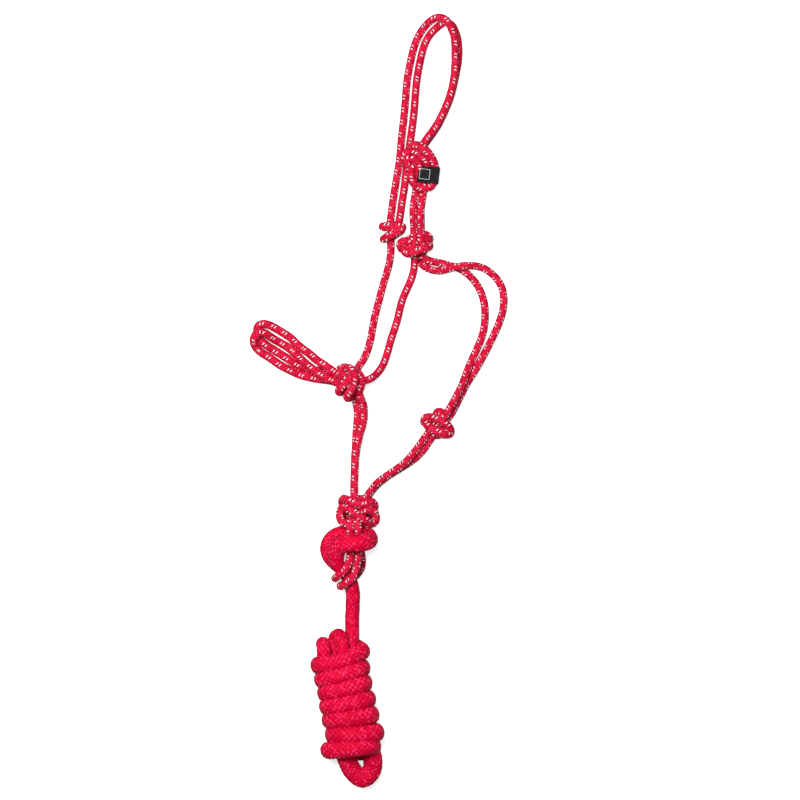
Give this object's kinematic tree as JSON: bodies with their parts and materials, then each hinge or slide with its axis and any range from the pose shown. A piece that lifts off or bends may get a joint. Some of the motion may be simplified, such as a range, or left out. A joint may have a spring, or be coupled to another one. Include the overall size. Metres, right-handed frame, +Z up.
{
  "type": "rope halter",
  "caption": "Knotted rope headpiece for a horse, laid flat with its noseband folded to one side, and a thicker lead rope hitched under the chin and wrapped into a hank.",
  "frame": {"origin": "on the surface the halter lies on, in the middle of its footprint", "axes": "+X to the side the throatlatch is on, +Y towards the crown, away from the hank, +Z up from the surface"},
  "size_m": [0.2852, 0.8463, 0.0471],
  "materials": {
    "halter_rope": "braided polyester, matt",
    "lead_rope": "solid-braid polyester, matt",
    "label_cloth": "woven label, matt"
  },
  "bodies": {
    "halter": {"upper_cheek_knot_off": "halter_rope", "upper_cheek_knot_near": "halter_rope", "cheek_strand_off": "halter_rope", "cheek_strand_near": "halter_rope", "nose_knot_off": "halter_rope", "nose_knot_near": "halter_rope", "chin_strand_off": "halter_rope", "chin_strand_near": "halter_rope", "fiador_knot": "halter_rope", "fiador_strand_upper": "halter_rope", "fiador_strand_lower": "halter_rope", "fiador_loop_left": "halter_rope", "fiador_loop_right": "halter_rope", "lead_rope_end_loop": "lead_rope"},
    "crown": {"crown_strand_outer": "halter_rope", "crown_strand_inner": "halter_rope", "tie_knot": "halter_rope", "tie_knot_bight": "halter_rope", "tie_loop_strand_left": "halter_rope", "tie_loop_strand_right": "halter_rope"},
    "tag": {"label": "label_cloth"},
    "noseband": {"noseband_rope_upper": "halter_rope", "noseband_rope_lower": "halter_rope"},
    "throatlatch": {"throat_strand_inner": "halter_rope", "throat_strand_outer": "halter_rope", "throat_knot": "halter_rope", "throat_to_fiador_strand_upper": "halter_rope", "throat_to_fiador_strand_lower": "halter_rope"},
    "lead_run": {"lead_rope_run": "lead_rope"},
    "hank": {"lead_rope_neck": "lead_rope", "hank_top_loop_middle": "lead_rope", "hank_top_loop_left": "lead_rope", "hank_end_loop": "lead_rope", "hank_wraps": "lead_rope"}
  },
  "joints": [
    {"name": "crown_fold", "type": "hinge", "parent": "halter", "child": "crown", "pos_m": [0.02, 0.2025, 0.004], "axis": [1, 0, 0], "range_deg": [0, 100]},
    {"name": "label_flap", "type": "hinge", "parent": "crown", "child": "tag", "pos_m": [0.061, 0.2475, 0.0115], "axis": [0.117, 0.9931, 0], "range_deg": [0, 80]},
    {"name": "noseband_fold", "type": "hinge", "parent": "halter", "child": "noseband", "pos_m": [-0.053, 0.027, 0.017], "axis": [0.5051, 0.8631, 0], "range_deg": [0, 90]},
    {"name": "throat_fold", "type": "hinge", "parent": "halter", "child": "throatlatch", "pos_m": [0.052, 0.148, 0.004], "axis": [-0.197, -0.979, 0.053], "range_deg": [0, 90]},
    {"name": "lead_swing", "type": "hinge", "parent": "halter", "child": "lead_run", "pos_m": [-0.029, -0.2235, 0.0095], "axis": [0, 0, 1], "range_deg": [-50, 50]},
    {"name": "hank_fold", "type": "hinge", "parent": "lead_run", "child": "hank", "pos_m": [-0.0295, -0.243, 0.007], "axis": [-1, 0, 0], "range_deg": [0, 75]}
  ]
}
